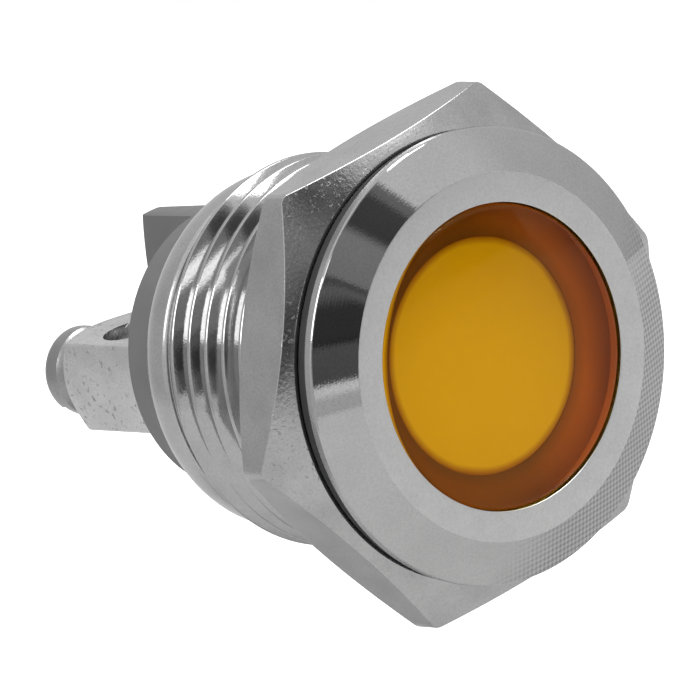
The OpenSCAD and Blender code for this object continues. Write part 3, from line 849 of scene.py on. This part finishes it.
# %% [markdown]
# The base is moulded plastic and the bars are cut from square rod. The CAD model already holds their
# shapes, so modelling them again would gain nothing. A copy of a CAD mesh is merged, its flat faces
# are joined, and its edges are rounded a little, because real edges catch light. The copy then
# stands for the CAD node.

# %% Pieces from CAD solids
CAD_MERGE = 1e-6
FLAT_ANGLE = math.radians(0.5)
ROUND_FROM = math.radians(35)


def rounded_copy(node, name, width, materials, reshape=None):
    """A copy of a CAD node with its sharper edges rounded by `width` mm."""
    made = bmesh.new()
    made.from_mesh(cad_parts[node].data)
    bmesh.ops.remove_doubles(made, verts=made.verts, dist=CAD_MERGE)
    if reshape:
        reshape(made)
    bmesh.ops.dissolve_limit(made, angle_limit=FLAT_ANGLE, verts=made.verts, edges=made.edges)
    crisp = [e for e in made.edges if len(e.link_faces) == 2 and e.calc_face_angle(0) > ROUND_FROM]
    bmesh.ops.bevel(made, geom=crisp, offset=width * MM, segments=2, profile=0.5, affect="EDGES",
                    material=-1, clamp_overlap=True)
    piece = as_object(name, made, materials)
    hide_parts(node)
    return piece


base = rounded_copy("terminal_base", "moulded_base", 0.08, [grey_plastic])
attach(base, "lamp")
for side in ("left", "right"):
    bar = rounded_copy("terminal_bar_" + side, "square_bar_" + side, 0.06, [bar_plate])
    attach(bar, "lamp")

# %% [markdown]
# The terminal screws are M3, so their shanks carry a thread with a pitch of 0.5 mm. The copy's plain
# shank is drawn in to the thread's root, and a small ridge is wound round it, as on the barrel.

# %% Terminal screws
SCREW_ROOT, SCREW_CREST, SCREW_PITCH = 1.22, 1.50, 0.5
SCREW_LENGTH = 5.0
SCREW_HALF, SCREW_FLAT, SCREW_SINK = 0.22, 0.03, 0.08
SCREW_STEPS = 48
SCREW_SHARP = math.radians(25)
TIP_BARE, NECK_BARE = 0.1, 0.25
BAR_X = 4.55
HEAD_PLACE = {"left": 29.05, "right": 28.85}


def thin_shank(axis_x, head_y):
    """Gives a function that draws a screw's shank in to the thread's root."""
    def reshape(made):
        for v in made.verts:
            across = Vector((v.co.x - axis_x * MM, 0, v.co.z))
            if v.co.y < (head_y + 0.01) * MM and across.length < (SCREW_CREST + 0.05) * MM:
                v.co -= across * (1 - SCREW_ROOT / SCREW_CREST)
    return reshape


for side, sign in (("left", -1), ("right", 1)):
    head_y = HEAD_PLACE[side]
    screw = rounded_copy("terminal_screw_" + side, "domed_screw_" + side, 0.05, [screw_plate],
                         reshape=thin_shank(sign * BAR_X, head_y))
    ridge = wound_ridge(SCREW_ROOT, SCREW_CREST, SCREW_PITCH, head_y - SCREW_LENGTH + TIP_BARE,
                        head_y - NECK_BARE, SCREW_HALF, SCREW_FLAT, SCREW_SINK, SCREW_STEPS)
    bmesh.ops.translate(ridge, verts=ridge.verts, vec=(sign * BAR_X * MM, 0, 0))
    screw_thread = as_object("screw_thread_" + side, ridge, [screw_plate], SCREW_SHARP)
    for piece in (screw, screw_thread):
        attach(piece, "screw_" + side)
    print("Screw", side, "faces:", len(screw.data.polygons), "+", len(screw_thread.data.polygons))

# %% [markdown]
# The pieces inside the barrel don't show, but each gets its own finish, so that the lamp can be
# taken apart later. These CAD solids stay as they are, and only their materials change.

# %% Inner pieces
inner = {
    "lens_seal": black_rubber, "light_tube": dark_plastic, "led_board": white_board,
    "led_chip_1": chip_case, "led_chip_2": chip_case, "led_chip_3": chip_case, "led_chip_4": chip_case,
    "bridge_rectifier": dark_plastic, "smoothing_capacitor": satin_plate,
    "dropper_resistor_left": dark_plastic, "dropper_resistor_right": dark_plastic,
    "contact_pin_left": pin_brass, "contact_pin_right": pin_brass, "spacer_sleeve": grey_plastic,
    "base_seal": black_rubber}
for name, material in inner.items():
    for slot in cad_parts[name].material_slots:
        slot.material = material
print("Inner pieces with a finish:", len(inner))
